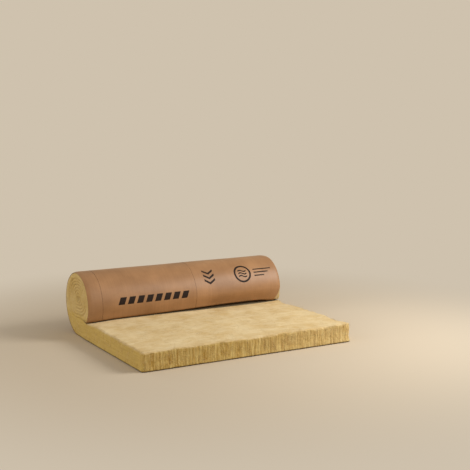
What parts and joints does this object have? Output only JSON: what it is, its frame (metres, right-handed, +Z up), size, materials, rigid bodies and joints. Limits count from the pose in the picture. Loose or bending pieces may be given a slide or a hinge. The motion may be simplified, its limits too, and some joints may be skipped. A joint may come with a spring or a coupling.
{
  "type": "insulation roll",
  "caption": "Partly unrolled glass-wool insulation roll with a kraft paper facing outside; its tail lies flat, ready to be cut to length.",
  "frame": {"origin": "on the floor, under the middle of the whole piece: half the width, and halfway from the tail's cut end to the back of the roll", "axes": "+X along the roll's axis, +Y from the cut end of the tail towards the roll, +Z up"},
  "size_m": [1.2, 1.0299, 0.3479],
  "materials": {
    "wool": "matte glass fibre felt, soft and yellowish",
    "kraft": "smooth brown kraft paper with a faint sheen"
  },
  "bodies": {
    "root": {"wool_blanket": "wool", "kraft_facing": "kraft"}
  },
  "joints": []
}
